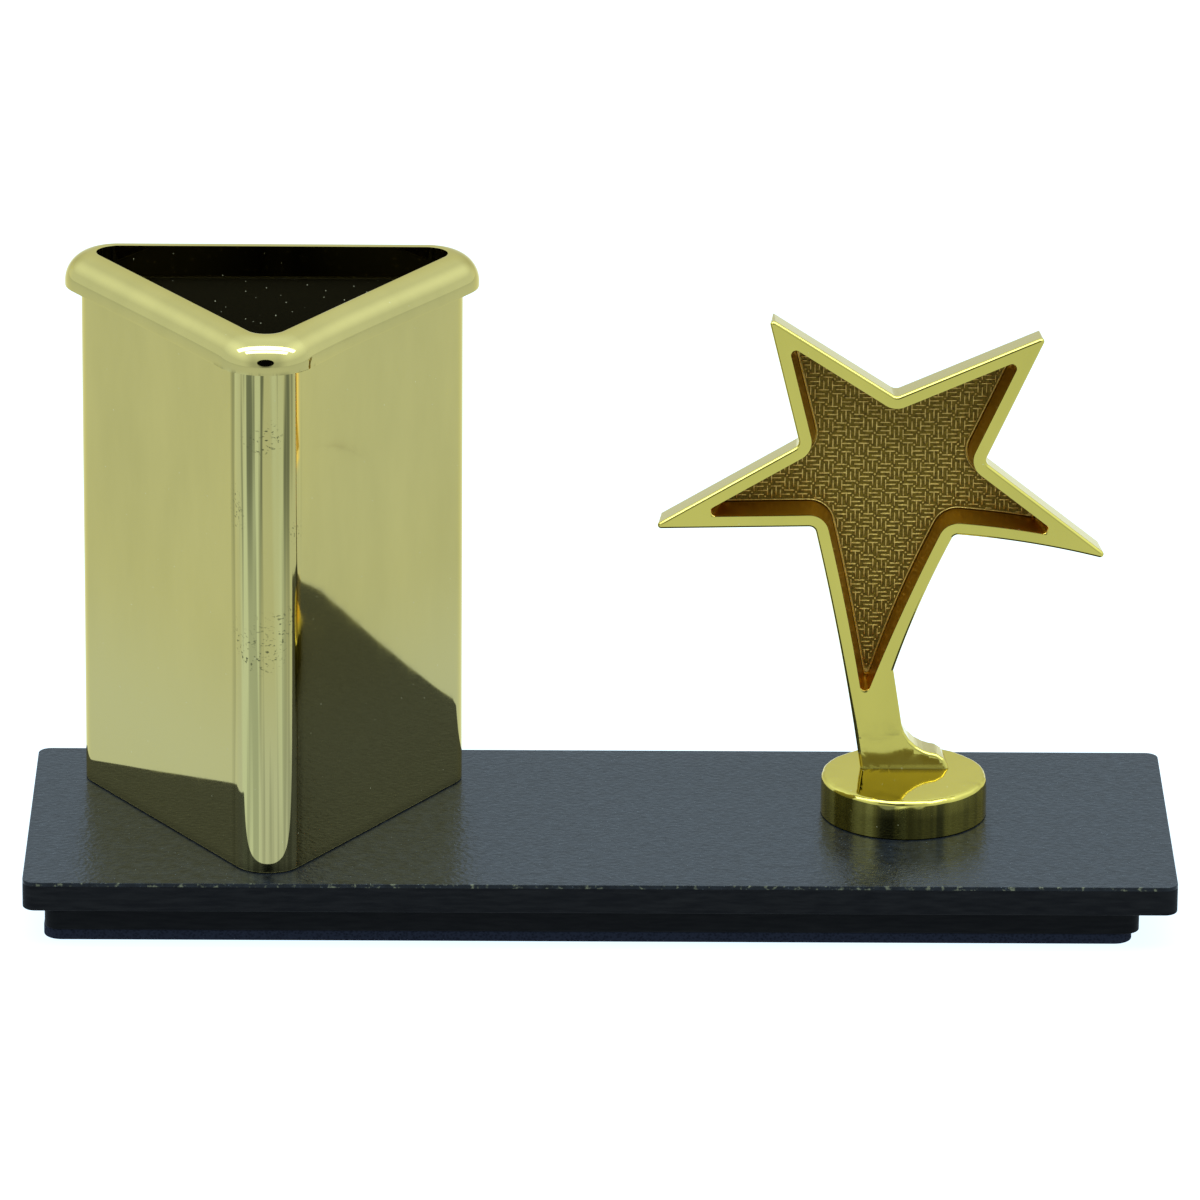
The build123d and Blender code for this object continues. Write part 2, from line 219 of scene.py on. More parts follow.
# Where the painted reflection streaks of the cup's front corner begin and are full, from its arc's centre
# and its top
REFLECTION_SIDES = 1.5 * MM, 4.0 * MM
REFLECTION_HEIGHTS = 62 * MM, 22 * MM
LOW_REFLECTIONS = 0.45              # how much of the painted dark reflection streaks is left low down

# Distances in from the laminate's long edges where the wear begins and where it is full
WEAR_BAND = 0.30 * MM, 0.12 * MM


def column_reflections_and_scuffs(tree, clean):
    """Painted reflection streaks, dark and pale, along the cup's front corner, with real scuffs among them.
    """
    rim_foot = CUP_HIGH.z - RIM_HEIGHT
    front = fade(tree, axis(tree, "Y"), *(CUP_FRONT_Y - reach for reach in REFLECTION_SIDES))
    wall = fade(tree, axis(tree, "Z"), rim_foot + MM, rim_foot - MM)
    high = fade(tree, axis(tree, "Z"), *(CUP_HIGH.z - depth for depth in REFLECTION_HEIGHTS), LOW_REFLECTIONS)
    fine = noise_value(tree, 640, 2, 0.6, (1, 0.15, 0.010))
    broad = noise_value(tree, 300, 1, 0.4, (1, 0.15, 0.016))
    dark = ramp(tree, fine, [(0.0, 1.0), (0.42, 0.85), (0.52, 0.0)])
    pale = ramp(tree, broad, [(0.50, 0.0), (0.60, 0.8)])
    paled = mix(tree, pale, clean, REFLECTION_PALE)
    darkened = mix(tree, dark, paled, REFLECTION_AND_SCUFF_DARK)
    marked = mix(tree, high, paled, darkened)
    marked = mix(tree, scuffs(tree), marked, REFLECTION_AND_SCUFF_DARK)
    return mix(tree, product(tree, front, wall), clean, marked)


def scuffs(tree):
    """Small dark scratches that lie in a few clusters."""
    clusters = ramp(tree, noise_value(tree, 75, 1, 0.4), [(0.62, 0.0), (0.70, 1.0)])
    scratches = noise_value(tree, 1900, 2, 0.6, (0.5, 1, 1))
    marks = ramp(tree, scratches, [(0.58, 0.0), (0.66, 1.0)])
    return product(tree, clusters, marks)


def painted_side_reflections(tree, clean):
    """Painted reflections: upright dark and bright bands round the pedestal's side."""
    turned = noise_value(tree, 210, 2, 0.6, (1, 1, 0.02))
    dark = ramp(tree, turned, [(0.38, 0.9), (0.50, 0.0)])
    bright = ramp(tree, turned, [(0.54, 0.0), (0.66, 0.9)])
    return mix(tree, dark, mix(tree, bright, clean, REFLECTED_BAND_BRIGHT), REFLECTED_BAND_DARK)


def gold_material(name, tones, roughness, pit_scale, ripple, cup_reflections_and_scuffs=False):
    """Mirror gold under thin lacquer, with pits, smears, dust and a faint moulding ripple.

    The mesh says with its attributes where the metal differs: painted reflections in the star's recess, on
    its sides, low on the cup's walls, in the cup's crease and on the pedestal's side; bare plastic; and
    painted contact shade at the feet.
    """
    material, tree, shader = new_material(name)
    smear = noise_value(tree, 55, 4, 0.6, (1, 1, 0.35))
    clean = mix(tree, ramp(tree, smear, [(0.35, 0.0), (0.75, 1.0)]), *tones)
    if cup_reflections_and_scuffs:
        # Painted reflection: a paler, bluer tone low on the cup's walls
        clean = mix(tree, attribute(tree, "low_reflection"), clean, LOW_WALL_REFLECTION)
        # Painted reflection: dark and pale streaks on the front corner, plus real scuffs
        clean = column_reflections_and_scuffs(tree, clean)
        # Painted reflection: an amber sliver of gold reflecting gold in the crease beside the column
        clean = mix(tree, attribute(tree, "amber_reflection"), clean, AMBER_REFLECTION)
    else:
        # Painted reflection: upright bands on the pedestal's side
        clean = mix(tree, attribute(tree, "reflected_band"), clean, painted_side_reflections(tree, clean))
    recess, side, bare_and_contact_shade = (attribute(tree, key) for key in ("recess", "side", "bare_and_contact_shade"))
    # Painted reflection: a deeper orange in the star's recess, where gold reflects gold
    tinted = mix(tree, recess, clean, RECESS_REFLECTION_GOLD)
    # Painted reflection: a paler tone on the star's drafted sides
    tinted = mix(tree, side, tinted, SIDE_REFLECTION_PALE)
    # Bare plastic, and painted contact shade along the feet of the cup and the star
    tinted = mix(tree, bare_and_contact_shade, tinted, BARE_PLASTIC_AND_SHADE)
    dust = ramp(tree, cell_value(tree, 330), [(0.022, 1.0), (0.034, 0.0)])
    specks = ramp(tree, cell_value(tree, 700), [(0.07, 1.0), (0.10, 0.0)])
    dust = mix(tree, bare_and_contact_shade, dust, specks)
    non_metal = mix(tree, bare_and_contact_shade, dust, (1.0, 1.0, 1.0))
    gloss = ramp(tree, noise_value(tree, 140, 5, 0.65), [(0.3, roughness), (0.8, roughness * 2.2)])
    gloss = mix(tree, side, gloss, SIDE_ROUGHNESS)
    gloss = mix(tree, recess, gloss, RECESS_ROUGHNESS)
    pits = ramp(tree, cell_value(tree, pit_scale), [(0.0, 0.0), (0.045, 1.0)])
    waves = bump(tree, noise_value(tree, 60, 1, 0.4), ripple, 0.0002)
    feed(tree, shader, Base_Color=mix(tree, dust, tinted, DUST),
         Metallic=ramp(tree, non_metal, [(0.0, 1.0), (1.0, 0.0)]),
         Roughness=mix(tree, bare_and_contact_shade, gloss, BARE_ROUGHNESS),
         Normal=bump(tree, pits, 0.35, 0.00006, waves),
         Specular_Tint=(*LACQUER_TINT, 1), Coat_Weight=0.5, Coat_Roughness=0.03, Coat_IOR=1.5)
    return material


def edge_wear(tree):
    """Broken pale wear along the laminate's long edges."""
    from_middle = size_of(tree, axis(tree, "Y"))
    edge = fade(tree, from_middle, *(LAMINATE_HIGH.y - reach for reach in WEAR_BAND), kind="LINEAR")
    worn = ramp(tree, noise_value(tree, 500, 3, 0.7), [(0.55, 0.0), (0.65, 1.0)])
    return product(tree, edge, worn)


def laminate_material():
    """Slate-black laminate with a fine leather grain and a satin sheen."""
    material, tree, shader = new_material("grained_laminate")
    tone = noise_value(tree, 420, 4, 0.6)
    slate = mix(tree, ramp(tree, tone, [(0.3, 0.0), (0.7, 1.0)]), *SLATE)
    specks = ramp(tree, cell_value(tree, 700), [(0.05, 1.0), (0.09, 0.0)])
    slate = mix(tree, specks, slate, SLATE_SPECK)
    grain = bump(tree, cell_value(tree, 1150, "SMOOTH_F1"), 0.55, 0.00012)
    feed(tree, shader, Base_Color=mix(tree, edge_wear(tree), slate, WORN_EDGE),
         Roughness=ramp(tree, noise_value(tree, 900, 3), [(0.3, 0.19), (0.7, 0.31)]),
         Normal=bump(tree, noise_value(tree, 2600, 2, 0.5), 0.4, 0.00005, grain),
         Specular_IOR_Level=0.10)
    return material


def board_material():
    """Black painted fibreboard edge: dark, faintly fibrous, satin."""
    material, tree, shader = new_material("black_board")
    fibre = noise_value(tree, 700, 4, 0.6, (0.25, 0.25, 2.0))
    black = mix(tree, ramp(tree, fibre, [(0.35, 0.0), (0.75, 1.0)]), *BOARD_BLACK)
    feed(tree, shader, Base_Color=black, Roughness=ramp(tree, fibre, [(0.3, 0.42), (0.7, 0.6)]),
         Normal=bump(tree, fibre, 0.3, 0.00008), Specular_IOR_Level=0.035)
    return material


def pad_material():
    """Matt black foam sheet with open pores."""
    material, tree, shader = new_material("pad_foam")
    pores = cell_value(tree, 1800)
    black = mix(tree, ramp(tree, pores, [(0.1, 0.0), (0.6, 1.0)]), *FOAM_BLACK)
    feed(tree, shader, Base_Color=black, Roughness=ramp(tree, pores, [(0.1, 0.95), (0.6, 0.8)]),
         Normal=bump(tree, pores, 0.6, 0.0001), Specular_IOR_Level=0.03)
    return material


def inlay_material():
    """Antique brass: dark in the grooves, with a painted highlight on the tops of the raised weave."""
    material, tree, shader = new_material("inlay_metal")
    ridge_highlight = attribute(tree, "ridge_highlight")
    grime = ramp(tree, noise_value(tree, 1700, 4, 0.7), [(0.32, 0.0), (0.68, 1.0)])
    groove = mix(tree, grime, *BRASS_GROOVE)
    # Painted highlight: the ridge tone on the weave's tops
    ridge = mix(tree, grime, *BRASS_RIDGE_HIGHLIGHT)
    feed(tree, shader, Base_Color=mix(tree, ridge_highlight, groove, ridge),
         Roughness=ramp(tree, ridge_highlight, [(0.0, 0.55), (1.0, 0.38)]),
         Normal=bump(tree, grime, 0.45, 0.00004), Metallic=0.85)
    return material


def steel_material():
    """Zinc-plated steel with fine turning marks."""
    material, tree, shader = new_material("screw_steel")
    marks = noise_value(tree, 1400, 3, 0.5, (1, 1, 4))
    feed(tree, shader, Base_Color=mix(tree, marks, *STEEL), Metallic=1.0,
         Roughness=ramp(tree, marks, [(0.3, 0.25), (0.7, 0.4)]), Normal=bump(tree, marks, 0.2, 0.00003))
    return material


# ---------------------------------------------------------------- mesh helpers
def join_rows(mesh, first, second):
    """Join two closed rows of vertices by quads."""
    for i in range(len(first)):
        j = (i + 1) % len(first)
        mesh.faces.new((first[i], first[j], second[j], second[i]))


def join_and_cap(mesh, rows):
    """Join closed rows of vertices one after another, with flat caps at the ends."""
    for lower, upper in zip(rows, rows[1:]):
        join_rows(mesh, lower, upper)
    mesh.faces.new(list(reversed(rows[0])))
    mesh.faces.new(rows[-1])


def loft(rings):
    """A mesh through closed rings of points that all have the same count."""
    mesh = bmesh.new()
    join_and_cap(mesh, [[mesh.verts.new(point) for point in ring] for ring in rings])
    return mesh


def finish_piece(mesh, name, material, replaced, sharp_angle=40):
    """Turn a bmesh into a smooth-shaded piece that rides on the root and replaces CAD nodes."""
    bmesh.ops.recalc_face_normals(mesh, faces=mesh.faces)
    data = bpy.data.meshes.new(name)
    mesh.to_mesh(data)
    mesh.free()
    data.polygons.foreach_set("use_smooth", [True] * len(data.polygons))
    data.set_sharp_from_angle(angle=math.radians(sharp_angle))
    data.materials.append(material)
    piece = bpy.data.objects.new(name, data)
    bpy.context.scene.collection.objects.link(piece)
    weighted = piece.modifiers.new("weighted_normals", "WEIGHTED_NORMAL")
    weighted.keep_sharp = True
    weighted.weight = 60
    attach(piece, ROOT)
    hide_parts(*replaced)


def round_corner(centre, radius, start, end, steps):
    """Points of an arc about a centre, angles in radians, ends included."""
    angles = [start + (end - start) * i / steps for i in range(steps + 1)]
    return [(centre[0] + radius * math.cos(a), centre[1] + radius * math.sin(a)) for a in angles]


def quarter_round(size, steps):
    """A quarter round as pairs that go from (size, 0) to (0, size)."""
    angles = [math.pi / 2 * i / steps for i in range(steps + 1)]
    return [(size * (1 - math.sin(a)), size * (1 - math.cos(a))) for a in angles]


def divided(a, b, count):
    """The points that divide the way from a to b into equal steps, without its ends."""
    return [(a[0] + (b[0] - a[0]) * i / count, a[1] + (b[1] - a[1]) * i / count)
            for i in range(1, count)]


def smooth_step(value):
    """Zero below 0, one above 1, and a smooth rise between."""
    value = max(0.0, min(1.0, value))
    return value * value * (3 - 2 * value)


# ---------------------------------------------------------------- base
PAD_CORNER = 3.6 * MM
PLINTH_CORNER = 3.0 * MM
DECK_CORNER = 2.6 * MM
SAWN_EDGE = 0.05 * MM           # round of the edges that meet inside the deck
LAMINATE_EDGE = 0.14 * MM
PLINTH_EDGE = 0.15 * MM
PAD_EDGE = 0.3 * MM
PLINTH_FOOT = 0.3 * MM
DECK_FOOT = 0.35 * MM


def rounded_rectangle(low, high, corner, inset, steps=10, spacing=4 * MM):
    """A rounded rectangle drawn in by inset, with its straight sides divided evenly."""
    x0, y0, x1, y1 = low.x + inset, low.y + inset, high.x - inset, high.y - inset
    r = corner - inset
    centres = [(x1 - r, y1 - r), (x0 + r, y1 - r), (x0 + r, y0 + r), (x1 - r, y0 + r)]
    points = []
    for k, centre in enumerate(centres):
        arc = round_corner(centre, r, k * math.pi / 2, (k + 1) * math.pi / 2, steps)
        if points:
            points += divided(points[-1], arc[0], round(math.dist(points[-1], arc[0]) / spacing))
        points += arc
    points += divided(points[-1], points[0], round(math.dist(points[-1], points[0]) / spacing))
    return points


def slab(low, high, corner, top_round, bottom_round, steps=4):
    """A rounded board with rounded top and bottom edges."""
    profile = [(inset, low.z + rise) for inset, rise in quarter_round(bottom_round, steps)]
    profile += [(inset, high.z - drop) for drop, inset in quarter_round(top_round, steps)]
    return loft([[(x, y, z) for x, y in rounded_rectangle(low, high, corner, inset)]
                 for inset, z in profile])


def make_base():
    """The pad, the plinth and the deck with its laminate."""
    board = board_material()
    finish_piece(slab(PAD_LOW, PAD_HIGH, PAD_CORNER, PAD_EDGE, PAD_EDGE),
                 "foam_pad", pad_material(), ["base_pad"])
    finish_piece(slab(PLINTH_LOW, PLINTH_HIGH, PLINTH_CORNER, PLINTH_EDGE, PLINTH_FOOT),
                 "plinth", board, ["plinth_board"])
    finish_piece(slab(DECK_LOW, DECK_HIGH, DECK_CORNER, SAWN_EDGE, DECK_FOOT),
                 "deck", board, ["deck_board"])
    finish_piece(slab(LAMINATE_LOW, LAMINATE_HIGH, DECK_CORNER, LAMINATE_EDGE, SAWN_EDGE),
                 "deck_top_sheet", laminate_material(), ["deck_laminate"])


# ---------------------------------------------------------------- pen cup
CUP_X = (CUP_LOW.x + CUP_HIGH.x) / 2
CUP_HALF_SPAN = (CUP_HIGH.x - CUP_LOW.x) / 2 - RIM_OVERHANG - CUP_CORNER
CUP_FRONT_Y = CUP_LOW.y + RIM_OVERHANG + CUP_CORNER
CUP_BACK_Y = CUP_HIGH.y - RIM_OVERHANG - CUP_CORNER
CUP_CORNERS = [
    (CUP_X, CUP_FRONT_Y),
    (CUP_X + CUP_HALF_SPAN, CUP_BACK_Y),
    (CUP_X - CUP_HALF_SPAN, CUP_BACK_Y),
]
TANGENT_POINT = 28              # the point of the plan where the front corner meets the right wall
CUP_FOOT = 0.4 * MM             # dark, non-metal edge along the foot, a painted contact shadow
RIM_EDGE = 0.14 * MM
INNER_EDGE = 0.3 * MM
FLOOR_ROUND = 1.0 * MM
BEND = 0.3                      # where the middle point of a rounded edge lies, as a share of it

# The front walls have sunk in the mould between their stiff corners, and less near the floor
HOLLOW_DEPTH = 5.0 * MM         # slope scale of the sink
HOLLOW_SHAPE = 1.8              # puts the deepest place nearer the front corner
SINK_START = 57 * MM
SINK_RISE = 26 * MM
FOOT_BULGE = -0.06              # share of the sink near the floor, where the walls bulge a little
SIDE_SHARE = {1: 1.0, -1: 0.35}  # the right wall (1) has sunk more than the left (-1)
WALL_REACH = CUP_CORNER + RIM_OVERHANG + 0.5 * MM
RIPPLES = (0.03 * MM, 30 * MM), (0.008 * MM, 11 * MM)  # height and length of the wall's ripples

# Where the amber painted reflection lies in the crease beside the column, and how far its ends fade
AMBER_STRETCHES = (83 * MM, 104 * MM), (50 * MM, 57 * MM)
AMBER_LOW_FADE = 3 * MM
AMBER_HIGH_FADE = 6 * MM
LOW_REFLECTION_TOP = 55 * MM              # the walls get a paler, bluer painted reflection below this height
LOW_REFLECTION_FADE = 40 * MM


def outward_angle(a, b):
    """Direction that points out of the counter-clockwise edge from a to b."""
    return math.atan2(b[1] - a[1], b[0] - a[0]) - math.pi / 2


def cup_plan(grow, arc_steps=TANGENT_POINT, wall_steps=44):
    """The cup's plan outline, moved outward from the wall's outer face by grow."""
    radius = CUP_CORNER + grow
    points = []
    for k, centre in enumerate(CUP_CORNERS):
        before, after = CUP_CORNERS[k - 1], CUP_CORNERS[(k + 1) % 3]
        start = outward_angle(before, centre)
        end = outward_angle(centre, after)
        if end < start:
            end += 2 * math.pi
        arc = round_corner(centre, radius, start, end, arc_steps)
        target = round_corner(after, radius, end, end, 1)[0]
        points += arc + divided(arc[-1], target, wall_steps)
    return points


def cup_profile(outer_steps=60, rim_steps=12, inner_steps=20):
    """The wall's section from the outer foot over the rim to the inner floor: (grow, height)."""
    top = CUP_HIGH.z - CUP_LOW.z
    rise = top - RIM_HEIGHT
    foot, out, lip, edge, floor = CUP_FOOT, RIM_OVERHANG, LIP_INSET, RIM_EDGE, CUP_FLOOR
    profile = [(-foot, 0.0), (-BEND * foot, BEND * foot), (0.0, foot)]
    profile += [(0.0, foot + (rise - foot) * i / outer_steps) for i in range(1, outer_steps + 1)]
    profile += [(out - edge, rise), (out - BEND * edge, rise + BEND * edge), (out, rise + edge)]
    profile += [(out - inset, top - drop) for drop, inset in quarter_round(RIM_ROUND, rim_steps)]
    profile += [(-lip + edge, top), (-lip + BEND * edge, top - BEND * edge), (-lip, top - edge)]
    profile += [(-lip, rise + INNER_EDGE), (-lip + INNER_EDGE, rise), (-CUP_WALL, rise - 2 * INNER_EDGE)]
    inner_height = rise - floor - FLOOR_ROUND
    profile += [(-CUP_WALL, rise - inner_height * i / inner_steps) for i in range(1, inner_steps + 1)]
    profile += [(-CUP_WALL - INNER_EDGE, floor + INNER_EDGE), (-CUP_WALL - FLOOR_ROUND, floor)]
    return profile


def wall_hollow(place, height):
    """How far a front wall has sunk at a place, as moulded walls do beside a stiff corner."""
    front = Vector(CUP_CORNERS[0])
    for side, share in SIDE_SHARE.items():
        run = Vector(CUP_CORNERS[1 if side > 0 else 2]) - front
        along = (place - front).dot(run) / run.length_squared
        off = ((place - front) - run * along).length
        if 0 < along < 1 and side * (place.x - CUP_X) > 0 and off < WALL_REACH:
            sunk = smooth_step((height - SINK_START) / SINK_RISE)
            sink_share = FOOT_BULGE + (1 - FOOT_BULGE) * sunk
            return share * sink_share * HOLLOW_DEPTH * along * (1 - along) ** HOLLOW_SHAPE
    return 0.0


def wall_ripple(place, z):
    """How far a moulded wall stands off its true plane at a place."""
    spot = Vector((place.x, place.y, z))
    return sum(height * noise.noise(spot / length) for height, length in RIPPLES)


def moulded(ring, z, share):
    """A ring with a share of the wall's sink and ripple, moved along its own outward directions."""
    moved = []
    for k, spot in enumerate(ring):
        along = (Vector(ring[(k + 1) % len(ring)]) - Vector(ring[k - 1])).normalized()
        outward = Vector((along.y, -along.x))
        place = Vector(spot)
        place += outward * share * (wall_ripple(place, z) - wall_hollow(place, z - CUP_LOW.z))
        moved.append((place.x, place.y))
    return moved


def amber_reflection_share(height):
    """How much of the amber painted reflection lies in the crease beside the column, at a height."""
    return max(
        smooth_step((height - low) / AMBER_LOW_FADE) * smooth_step((high - height) / AMBER_HIGH_FADE + 1)
        for low, high in AMBER_STRETCHES
    )


def make_cup(material):
    """The pen cup: walls, rolled rim, floor and the three screw bosses inside."""
    rings = []
    rim_start = CUP_HIGH.z - CUP_LOW.z - RIM_HEIGHT
    profile = cup_profile()
    for grow, height in profile:
        z = CUP_LOW.z + height
        ring = cup_plan(grow)
        if height >= rim_start or grow > -CUP_WALL / 2:
            ring = moulded(ring, z, max(0.0, min(1.0, (grow + LIP_INSET) / CUP_WALL)))
        rings.append([(x, y, z) for x, y in ring])
    mesh = loft(rings)
    bare_and_contact_shade, amber_reflection, low_reflection = (mesh.verts.layers.float.new(key) for key in ("bare_and_contact_shade", "amber_reflection", "low_reflection"))
    mesh.verts.ensure_lookup_table()
    per_ring = len(rings[0])
    for k, (grow, height) in enumerate(profile):
        ring = mesh.verts[k * per_ring:(k + 1) * per_ring]
        # Inside walls are bare plastic; the rings at the foot get the same dark as a painted contact shadow
        if height < rim_start and grow <= -CUP_WALL or height < CUP_FOOT:
            for vertex in ring:
                vertex[bare_and_contact_shade] = 1.0
        # Painted reflections on the outer wall: the amber sliver beside the column and the paler tone low
        # down
        if grow >= 0 and height <= rim_start:
            ring[TANGENT_POINT][amber_reflection] = amber_reflection_share(height)
            for vertex in ring:
                vertex[low_reflection] = smooth_step((LOW_REFLECTION_TOP - height) / LOW_REFLECTION_FADE)
    middle = Vector((CUP_X, sum(y for x, y in CUP_CORNERS) / 3))
    for corner in CUP_CORNERS:
        spot = Vector(corner)
        spot += (middle - spot).normalized() * BOSS_INSET
        add_boss(mesh, bare_and_contact_shade, spot)
    finish_piece(mesh, "pen_cup", material, ["cup_shell"])


def add_boss(mesh, bare_and_contact_shade, spot, steps=32):
    """A closed round boss that stands on the cup's floor."""
    low, high = CUP_LOW.z + CUP_FLOOR, CUP_LOW.z + BOSS_HEIGHT
    edge = INNER_EDGE
    rows = []
    for radius, z in (BOSS_RADIUS, low), (BOSS_RADIUS, high - edge), (BOSS_RADIUS - edge, high):
        row = []
        for i in range(steps):
            a = 2 * math.pi * i / steps
            row.append(mesh.verts.new((spot.x + radius * math.cos(a), spot.y + radius * math.sin(a), z)))
            row[-1][bare_and_contact_shade] = 1.0
        rows.append(row)
    join_and_cap(mesh, rows)


# ---------------------------------------------------------------- pedestal
PEDESTAL_X = (PEDESTAL_LOW.x + PEDESTAL_HIGH.x) / 2
PEDESTAL_Y = (PEDESTAL_LOW.y + PEDESTAL_HIGH.y) / 2
PEDESTAL_RADIUS = (PEDESTAL_HIGH.x - PEDESTAL_LOW.x) / 2
PEDESTAL_EDGE = 1.1 * MM
PEDESTAL_FOOT = 0.25 * MM
SIDE_ROWS = [(1.2 + i) * MM for i in range(5)]    # heights of the rows up the side
TOP_ROWS = [2 * MM, 4 * MM, 7 * MM, 10 * MM]      # ways in from the edge of the rows on the top
FILED_IN = 0.13 * MM            # how far the edge is filed in and down, on average
FILED_DOWN = 0.10 * MM
OUT_OF_ROUND = 0.05 * MM
SIDE_WAVES = 4                  # scale of the noise that makes the disc out of round


def filed_share(spot, r):
    """How much the disc is filed at a spot: most at its top edge, none further in or down."""
    near_edge = smooth_step((spot.z - 5 * MM) / (3 * MM)) * smooth_step((r - 12 * MM) / (4 * MM))
    uneven = noise.noise(spot / (4.5 * MM)) + 0.5 * noise.noise(spot / (1.8 * MM))
    return near_edge * (1 + uneven)


def make_pedestal(material, steps=240, edge_steps=12):
    """The round disc under the star, with a hand-finished, slightly uneven top edge."""
    radius, low, high = PEDESTAL_RADIUS, PEDESTAL_LOW.z, PEDESTAL_HIGH.z
    profile = [(radius - PEDESTAL_FOOT, low), (radius, low + PEDESTAL_FOOT)]
    profile += [(radius, low + height) for height in SIDE_ROWS]
    profile += [(radius - inset, high - drop) for drop, inset in quarter_round(PEDESTAL_EDGE, edge_steps)]
    profile += [(radius - inward, high) for inward in TOP_ROWS]
    rings = []
    for r, z in profile:
        ring = []
        for i in range(steps):
            a = 2 * math.pi * i / steps
            away = Vector((math.cos(a), math.sin(a), 0))
            spot = away * r
            spot.z = z - low
            filed = filed_share(spot, r)
            reach = r - FILED_IN * filed
            if r > radius - TOP_ROWS[0]:
                reach -= OUT_OF_ROUND * (1 + noise.noise(away * SIDE_WAVES))
            ring.append((PEDESTAL_X + reach * away.x, PEDESTAL_Y + reach * away.y, z - FILED_DOWN * filed))
        rings.append(ring)
    mesh = loft(rings)
    reflected_band = mesh.verts.layers.float.new("reflected_band")
    # The side below the rounded edge gets the painted reflection bands
    for vertex in mesh.verts:
        if vertex.co.z < high - PEDESTAL_EDGE:
            vertex[reflected_band] = 1.0
    finish_piece(mesh, "pedestal", material, ["star_pedestal"])


# ---------------------------------------------------------------- star
# Corners of the star in millimetres, along X from the pedestal's axis and up from the deck.
TIP_RIGHT = (41.7, 52.4)
NOTCH_RIGHT = (15.1, 73.3)
TIP_TOP_RIGHT = (27.2, 100.0)
NOTCH_TOP = (-2.7, 86.9)
TIP_TOP_LEFT = (-28.4, 103.5)
NOTCH_LEFT = (-21.8, 76.7)
TIP_LEFT = (-51.9, 58.9)
NOTCH_LOW_LEFT = (-18.6, 59.5)
NOTCH_LOW_RIGHT = (9.3, 58.0)
KNEE = (-2.35, 29.1)
STEM_LOW_RIGHT = (-0.7, 18.7)
TOE_TOP = (5.3, 11.6)
TOE = (9.0, 6.8)
HEEL = (-8.5, 6.8)
LOWEST_POINT = (-9.4, 11.7)

# Middle points of the edges that are arcs
ARM_HOLLOW = (21.0, 56.7)
STEM_RIGHT_HOLLOW = (2.2, 42.0)
STEM_LEFT_HOLLOW = (-13.9, 38.0)
SWEEP_HOLLOW = (0.9, 14.4)
TOE_CROWN = (8.3, 10.1)

TIP_ROUND = 0.7
RECESS_TIP_ROUND = 1.0
FLOOR_TIP_ROUND = 0.5
NOTCH_ROUND = 1.4
SMALL_ROUND = 0.5

# Each corner, its round, and the middle point of the edge that follows it (None if straight)
UPPER_CORNERS = [
    (NOTCH_LOW_RIGHT, NOTCH_ROUND, ARM_HOLLOW),
    (TIP_RIGHT, TIP_ROUND, None),
    (NOTCH_RIGHT, NOTCH_ROUND, None),
    (TIP_TOP_RIGHT, TIP_ROUND, None),
    (NOTCH_TOP, NOTCH_ROUND, None),
    (TIP_TOP_LEFT, TIP_ROUND, None),
    (NOTCH_LEFT, NOTCH_ROUND, None),
    (TIP_LEFT, TIP_ROUND, None),
    (NOTCH_LOW_LEFT, NOTCH_ROUND, STEM_LEFT_HOLLOW),
]
FOOT_CORNERS = [
    (HEEL, SMALL_ROUND, None),
    (TOE, SMALL_ROUND, TOE_CROWN),
    (TOE_TOP, 0.0, SWEEP_HOLLOW),
    (STEM_LOW_RIGHT, 0.0, None),
    (KNEE, SMALL_ROUND, STEM_RIGHT_HOLLOW),
]
# The recess ends in a point instead of a foot: at its edge, and lower at its floor
POINT_CORNERS = [((LOWEST_POINT[0] + 0.1, LOWEST_POINT[1] - 0.7), TIP_ROUND, STEM_RIGHT_HOLLOW)]
FLOOR_CORNERS = [((LOWEST_POINT[0] + 0.8, LOWEST_POINT[1] - 5.5), TIP_ROUND, STEM_RIGHT_HOLLOW)]
NEARLY_STRAIGHT = 0.25          # sine of the turn below which two edges run on into each other


class Edge:
    """A straight or arc edge of an outline that has its inside on the left."""

    def __init__(self, start, through, end):
        self.start, self.end = Vector(start), Vector(end)
        self.centre = None
        if through is None:
            return
        a, b, c = self.start, Vector(through), self.end
        d = 2 * (a.x * (b.y - c.y) + b.x * (c.y - a.y) + c.x * (a.y - b.y))
        squares = a.length_squared, b.length_squared, c.length_squared
        self.centre = Vector((
            squares[0] * (b.y - c.y) + squares[1] * (c.y - a.y) + squares[2] * (a.y - b.y),
            squares[0] * (c.x - b.x) + squares[1] * (a.x - c.x) + squares[2] * (b.x - a.x),
        )) / d
        self.radius = (a - self.centre).length
        spin = (a - self.centre).x * (b - a).y - (a - self.centre).y * (b - a).x
        self.turn = 1 if spin > 0 else -1

    def nearest(self, point, inset):
        """The closest point on the edge drawn inward by inset, and the direction there."""
        if self.centre is None:
            along = (self.end - self.start).normalized()
            inward = Vector((-along.y, along.x))
            foot = self.start + along * (point - self.start).dot(along)
            return foot + inward * inset, along
        spoke = (point - self.centre).normalized()
        along = Vector((-spoke.y, spoke.x)) * self.turn
        return self.centre + spoke * (self.radius - self.turn * inset), along


def meet(first, second, guess, inset):
    """Where two edges drawn inward by inset meet, near a guess."""
    point = guess.copy()
    for _ in range(8):
        (a, along_a), (b, along_b) = first.nearest(point, inset), second.nearest(point, inset)
        cross = along_a.x * along_b.y - along_a.y * along_b.x
        if abs(cross) < NEARLY_STRAIGHT:
            point = (a + b) / 2
            continue
        gap = b - a
        point = a + along_a * ((gap.x * along_b.y - gap.y * along_b.x) / cross)
    return point


